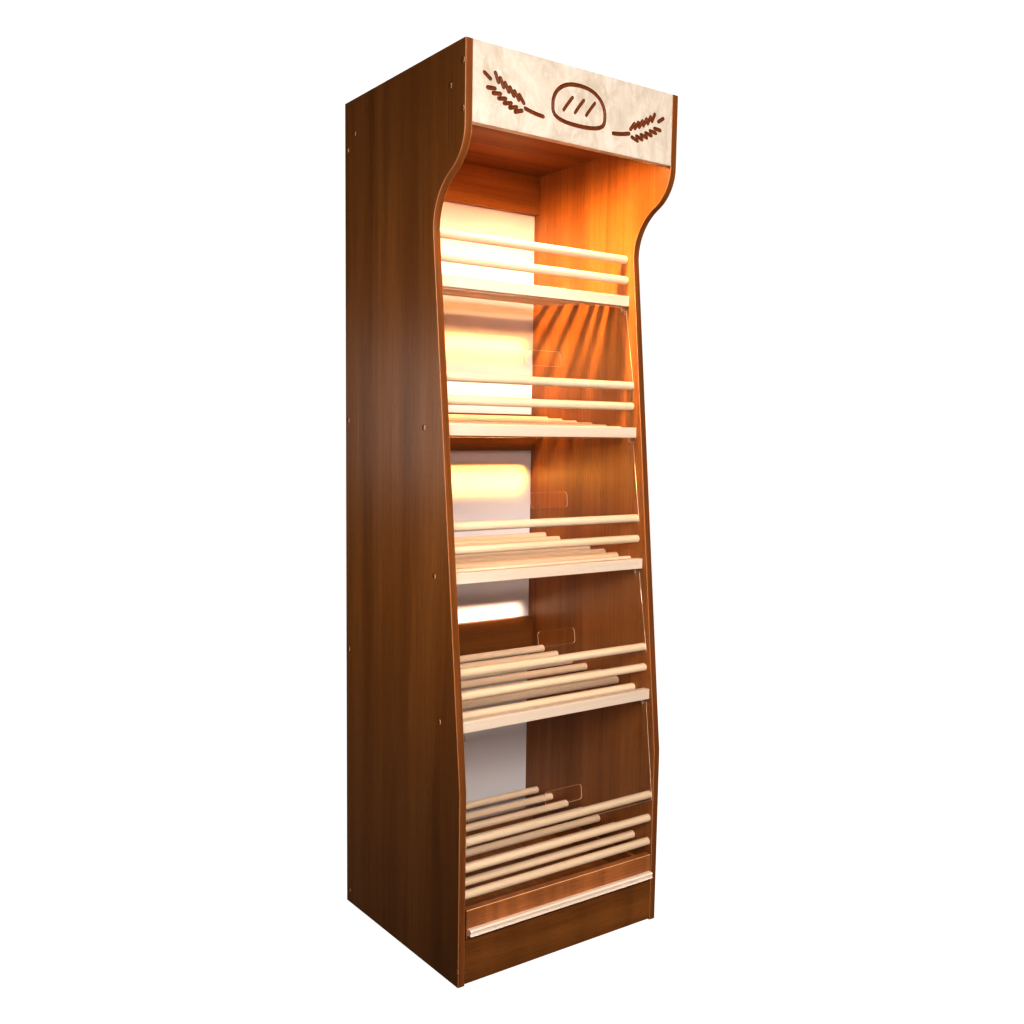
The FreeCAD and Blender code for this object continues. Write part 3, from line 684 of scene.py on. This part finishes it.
def side_panel(name, sign):
    """The panel itself with shallow round seats for its screw caps, and the caps in them."""
    mesh = nodes["side_panel_" + name].data.copy()
    mesh.name = "panel_" + name
    piece = placed("panel_" + name, mesh)
    piece.modifiers.new("join", "WELD").merge_threshold = WELD_GAP
    seat_radius = CAP_RADIUS + SEAT_GAP
    dish = [(0, -1), (seat_radius, -1), (seat_radius, SEAT_DEPTH), (0, SEAT_DEPTH)]
    dome = [(CAP_RADIUS - inset, depth) for inset, depth in CAP_DOME] + [(0, 0.0)]
    seats = bmesh.new()
    caps = bmesh.new()
    for reach, height in cap_places():
        for work, profile in ((seats, dish), (caps, dome)):
            lathe(work, (sign * OUTER, BACK - reach, height), (-sign, 0, 0), profile)
    carve(piece, new_piece("seats_" + name, seats, CUT_BOARD.material))
    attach(piece, "root")
    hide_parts("side_panel_" + name)
    new_piece("screw_caps_" + name, caps, CAP_PLASTIC, smooth=40)


NAIL_RADIUS = 2.6
NAIL_SINK = 0.3
NAIL_STEPS = 16
DENT = ((1.6, -1), (0.9, 0.1), (0.2, 0.8))  # beyond the nail's radius, depth
EDGE_NAIL_X = 287
EDGE_NAIL_HEIGHTS = range(70, 2000, 150)
BOARD_NAIL_X = (-215, -72, 72, 215)


def nail_places():
    """(x, height) of the nails along the back sheet's two sides and along the cross boards."""
    places = [(sign * EDGE_NAIL_X, height) for _, sign in SIDES for height in EDGE_NAIL_HEIGHTS]
    for board in BACK_RAILS + ("ceiling_panel",):
        places += [(x, middle(board, 2)) for x in BOARD_NAIL_X]
    return places


def back_sheet():
    """The back sheet with nails driven a little below its outer face."""
    piece = placed("back_sheet_nailed", nodes["back_panel"].data.copy())
    dish = [(0, -1)] + [(NAIL_RADIUS + wider, depth) for wider, depth in DENT] + [(0, 0.8)]
    head = [(NAIL_RADIUS, 0.75), (NAIL_RADIUS, NAIL_SINK + 0.2)]
    head += [(NAIL_RADIUS - 0.5, NAIL_SINK), (0, NAIL_SINK)]
    dents = bmesh.new()
    nails = bmesh.new()
    for x, height in nail_places():
        for work, profile in ((dents, dish), (nails, head)):
            lathe(work, (x, BACK, height), (0, -1, 0), profile, NAIL_STEPS)
    carve(piece, new_piece("dents", dents, SLOT_FINISHES["white_hardboard"]))
    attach(piece, "root")
    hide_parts("back_panel")
    new_piece("back_sheet_nails", nails, SLOT_FINISHES["zinc_steel"], smooth=40)


# ---------------------------------------------------------------- header ornament


def bent(start, lift, end, count):
    """Points along a quadratic curve through its two ends, which a third point pulls off the straight."""
    points = []
    for k in range(count + 1):
        t = k / count
        spot = ((1 - t) ** 2 * a + 2 * t * (1 - t) * b + t * t * c for a, b, c in zip(start, lift, end))
        points.append(tuple(spot))
    return points


# the ornament, in millimetres from the header board's middle
LOAF_HALF, LOAF_CROWN, LOAF_BASE = 74, 50, 34
LOAF_SIDES, LOAF_BOTTOM = 0.85, 0.5  # powers that square these off, where 1 gives an ellipse
LOAF_POINTS = 72
LOAF_DROP, SLASH_DROP = 6, 4
SLASH_X = (-32, 0, 32)
SLASH_STROKE = ((-12, -10), (-2, 4), (12, 20))
SLASH_POINTS = 6
EAR_SPINE = ((100, -38), (168, -34), (236, 10))
EAR_POINTS = 40
STEM_END, FIRST_GRAIN, LAST_GRAIN, GRAIN_EVERY = 15, 16, 38, 4  # counted along the spine's points
GRAIN_LEAN = math.radians(34)
GRAIN_LENGTH = 18
GRAIN_OFFSET = 8.5
TIP_START, TIP_END = 3, 20
GROOVE_RADIUS, GROOVE_DEPTH = 5.2, 2.6
SLASH_SHARE = 0.9  # of the groove's radius


def loaf():
    """A loaf's closed outline: a high rounded top over a flatter bottom."""
    points = []
    for k in range(LOAF_POINTS):
        angle = math.tau * k / LOAF_POINTS
        across, rise = math.cos(angle), math.sin(angle)
        x = LOAF_HALF * math.copysign(abs(across) ** LOAF_SIDES, across)
        z = LOAF_CROWN * rise if rise > 0 else -LOAF_BASE * abs(rise) ** LOAF_BOTTOM
        points.append((x, z))
    return points


def ear_strokes(sign):
    """Strokes of a wheat ear: a bare stem, then pairs of grains to the tip."""
    spine = bent(*EAR_SPINE, EAR_POINTS)
    strokes = [spine[:STEM_END]]
    for k in range(FIRST_GRAIN, LAST_GRAIN, GRAIN_EVERY):
        here, ahead = spine[k], spine[k + 1]
        way = Vector((ahead[0] - here[0], ahead[1] - here[1])).normalized()
        for turn in (1, -1):
            lean = Matrix.Rotation(turn * GRAIN_LEAN, 2) @ way
            foot = Vector(here) + Matrix.Rotation(turn * math.radians(90), 2) @ way * GRAIN_OFFSET
            strokes.append([tuple(foot + lean * length) for length in (0, GRAIN_LENGTH / 2, GRAIN_LENGTH)])
    tip = Vector(spine[-1])
    way = (tip - Vector(spine[-3])).normalized()
    strokes.append([tuple(tip + way * TIP_START), tuple(tip + way * TIP_END)])
    return [[(sign * x, z) for x, z in stroke] for stroke in strokes]


def header_ornament():
    """Shallow routed grooves in the header board: a loaf between two ears of wheat."""
    low, high = (Vector(c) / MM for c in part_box("header_board"))
    work = bmesh.new()
    block(work, low, high)
    bmesh.ops.bevel(work, geom=work.edges[:], offset=BOARD_EASE, segments=2, affect="EDGES")
    board = new_piece("header_board_routed", work, SLOT_FINISHES["birch_board"])

    y = low.y - (GROOVE_RADIUS - GROOVE_DEPTH)
    level = (low.z + high.z) / 2
    work = bmesh.new()
    tube(work, [(x, y, z + level - LOAF_DROP) for x, z in loaf()], GROOVE_RADIUS, closed=True)
    for middle_x in SLASH_X:
        slash = bent(*((middle_x + x, z) for x, z in SLASH_STROKE), SLASH_POINTS)
        tube(work, [(x, y, z + level - SLASH_DROP) for x, z in slash], GROOVE_RADIUS * SLASH_SHARE)
    for _, sign in SIDES:
        for stroke in ear_strokes(sign):
            tube(work, [(x, y, z + level) for x, z in stroke], GROOVE_RADIUS)
    carve(board, new_piece("cutter", work, GROOVE))
    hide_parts("header_board")


# ---------------------------------------------------------------- small fittings


SCREW_X = (-207, 207)
SCREW_INSET, SCREW_LIFT = 1.2, 0.8  # behind the handle's foremost line, and above its middle
SCREW_HEAD = ((3.4, -0.6), (3.4, 0.25), (3.0, 0.5), (1.6, 0.55), (1.3, -0.2), (0, -0.5))  # radius, height


def screw_heads():
    """The drawer handle's two screws, flush and with a round recess."""
    face = span("drawer_handle", 1)[0] + SCREW_INSET
    height = middle("drawer_handle", 2) + SCREW_LIFT
    work = bmesh.new()
    for x in SCREW_X:
        lathe(work, (x, face, height), (0, -1, 0), SCREW_HEAD, 24)
    new_piece("handle_screws", work, SLOT_FINISHES["zinc_steel"], "drawer", smooth=40)


# ---------------------------------------------------------------- studio


def area_light(name, place, target, size, power, colour=(1, 1, 1), spread=180, mirrored=True):
    """A soft lamp aimed at a target, in metres, watts and degrees. The flaps mirror only a mirrored one."""
    light = bpy.data.lights.new(name, "AREA")
    light.shape = "RECTANGLE"
    light.size, light.size_y = size
    light.energy = power
    light.color = colour
    light.spread = math.radians(spread)
    holder = placed(name, light)
    holder.location = place
    holder.rotation_euler = (Vector(target) - Vector(place)).to_track_quat("-Z", "Y").to_euler()
    holder.visible_camera = False
    holder.visible_glossy = holder.visible_transmission = mirrored


def seen_level(tree, seen, other):
    """One value for the camera, also where it looks straight through a clear sheet, and another elsewhere."""
    path = tree.nodes.new("ShaderNodeLightPath")
    straight = tree.nodes.new("ShaderNodeMath")
    straight.operation = "SUBTRACT"
    tree.links.new(path.outputs["Is Transmission Ray"], straight.inputs[0])
    tree.links.new(path.outputs["Glossy Depth"], straight.inputs[1])
    either = tree.nodes.new("ShaderNodeMath")
    either.operation = "MAXIMUM"
    tree.links.new(path.outputs["Is Camera Ray"], either.inputs[0])
    tree.links.new(straight.outputs["Value"], either.inputs[1])
    level = tree.nodes.new("ShaderNodeMapRange")
    level.inputs["To Min"].default_value = other
    level.inputs["To Max"].default_value = seen
    tree.links.new(either.outputs["Value"], level.inputs["Value"])
    return level.outputs["Result"]


# the hood's light, with reaches in millimetres and other places in metres
LAMP_REACH, LAMP_HEIGHT = 410, 1.884
CROSS_START = 0.2  # from the rack's middle, away from the panel that is lit
CROSS_REACH, CROSS_HEIGHT = 140, 1.47  # the spot on the panel
BAND_REACH, BAND_FALL = 75, 0.052  # from the back plane, and down to the spot aimed at on it
BAND_LIGHTS = (  # name, height, power and colour
    ("upper", 1.498, 0.55, THROUGH_GLOW),
    ("middle", 1.146, 1.4, THROUGH_GLOW),
    ("lower", 0.762, 0.4, PALE_GLOW),
)


def hood_lamp():
    """The hood's light: down the shelves, across to each side panel, and in bands behind the dowels."""
    y = (BACK - LAMP_REACH) * MM
    area_light("tube_light", (0, y, LAMP_HEIGHT), (0, y, 0), (0.3, 0.02), 6.2, LAMP_GLOW)
    for name, sign in SIDES:
        start = (-sign * CROSS_START, y, LAMP_HEIGHT)
        target = (sign * INNER * MM, (BACK - CROSS_REACH) * MM, CROSS_HEIGHT)
        area_light("tube_light_" + name, start, target, (0.1, 0.02), 3.0, LAMP_GLOW, spread=70)
    for name, height, power, glow in BAND_LIGHTS:
        start = (0, (BACK - BAND_REACH) * MM, height)
        target = (0, BACK * MM, height - BAND_FALL)
        area_light("tube_light_through_" + name, start, target, (0.5, 0.004), power, glow, spread=50)


SOFTBOXES = (  # name, place, target, size, power, spread, and whether the flaps mirror it
    ("key_softbox", (-0.45, -3.2, 2.36), (0, 0, 1.3), (0.8, 1.1), 172, 180, True),
    ("left_softbox", (-2.6, -1.4, 1.6), (-0.3, 0, 1.2), (0.8, 0.8), 14, 180, False),
    ("near_softbox", (-1.2, -1.0, 1.2), (-0.3, 0, 1.18), (0.6, 0.6), 3.0, 90, False),
    ("fill_softbox", (-0.9, -2.4, 1.3), (0, 0, 1.0), (0.5, 0.5), 10, 180, False),
    ("side_softbox", (-1.5, 1.5, 1.3), (-0.3, 0.1, 1.26), (0.6, 0.6), 3.0, 180, True),
    ("rear_softbox", (0.9, 2.6, 1.8), (0, 0.2, 1.0), (1.6, 1.6), 70, 180, False),
    ("right_softbox", (2.4, 0.9, 1.5), (0.3, 0, 1.1), (1.0, 1.2), 30, 180, False),
    ("top_softbox", (0, 0.25, 3.4), (0, 0.1, 2.0), (0.6, 0.6), 16, 180, False),
)


FLOOR_SEEN, WORLD_SEEN = 1.0, 1.05  # brightness to the camera
FLOOR_GIVEN, WORLD_GIVEN = 0.0, 0.018  # what they light the rack with
FLOOR_RADIUS = 60  # metres
DISPLAY_GAMMA = 0.8


def floor():
    """A wide round floor that the camera sees as white paper, and that is almost black to the rack."""
    mesh = bpy.data.meshes.new("floor")
    work = bmesh.new()
    bmesh.ops.create_circle(work, cap_ends=True, segments=64, radius=FLOOR_RADIUS)
    work.to_mesh(mesh)
    work.free()
    paper = Finish("pale_floor")
    tone = paper.noise(paper.stretched((0.6, 0.6, 0.6)), detail=2)
    paper.set(Base_Color=paper.ramp(tone, (0.3, 0.05), (0.7, 0.06)), Roughness=0.9, Specular_IOR_Level=0.0)
    paper.set(Emission_Color=(1, 1, 1, 1), Emission_Strength=seen_level(paper.tree, FLOOR_SEEN, FLOOR_GIVEN))
    mesh.materials.append(paper.material)
    placed("floor", mesh)


def studio():
    """The floor, a white world that gives almost no light, and the lamps."""
    floor()
    world = bpy.data.worlds.new("studio")
    world.use_nodes = True
    back = world.node_tree.nodes["Background"]
    back.inputs["Color"].default_value = (1, 1, 1, 1)
    level = seen_level(world.node_tree, WORLD_SEEN, WORLD_GIVEN)
    world.node_tree.links.new(level, back.inputs["Strength"])
    bpy.context.scene.world = world

    for name, place, target, size, power, spread, mirrored in SOFTBOXES:
        area_light(name, place, target, size, power, spread=spread, mirrored=mirrored)
    hood_lamp()

    view = bpy.context.scene.view_settings
    view.view_transform = "Standard"
    view.look = "None"
    view.gamma = DISPLAY_GAMMA


# the camera's place in metres, its turns, and its focal length and principal point in the picture's pixels
CAMERA_PLACE = (-1.4932, -2.0040, 1.2026)
YAW, PITCH, ROLL = math.radians(34.646), math.radians(-6.021), math.radians(0.585)
PICTURE = 1024
FOCAL, CENTRE_X, CENTRE_Y = 1016.2, 468.8, 545.5
SENSOR = 36


def camera():
    """The camera, with its principal point off the picture's middle."""
    forward = Vector((math.sin(YAW) * math.cos(PITCH), math.cos(YAW) * math.cos(PITCH), math.sin(PITCH)))
    level = Vector((math.cos(YAW), -math.sin(YAW), 0))
    upright = level.cross(forward)
    right = level * math.cos(ROLL) + upright * math.sin(ROLL)
    above = upright * math.cos(ROLL) - level * math.sin(ROLL)
    data = bpy.data.cameras.new("camera")
    data.sensor_width = SENSOR
    data.lens = FOCAL * SENSOR / PICTURE
    data.shift_x = (PICTURE / 2 - CENTRE_X) / PICTURE
    data.shift_y = (CENTRE_Y - PICTURE / 2) / PICTURE
    data.clip_start, data.clip_end = 0.05, 200
    holder = placed("camera", data)
    turned = Matrix((right, above, -forward)).transposed().to_4x4()
    holder.matrix_world = Matrix.Translation(CAMERA_PLACE) @ turned
    bpy.context.scene.camera = holder


# ---------------------------------------------------------------- put together

finish_nodes()
for rail in SHELVES:
    soften(f"shelf_rail_{rail}", RAIL_EASE)
for plank in ("ceiling_panel", *BACK_RAILS[:3], "plinth_board", "drawer_front"):
    soften(plank, BOARD_EASE)
for side, direction in SIDES:
    edge_band(side, direction)
    side_panel(side, direction)
back_sheet()
header_ornament()
screw_heads()
studio()
camera()
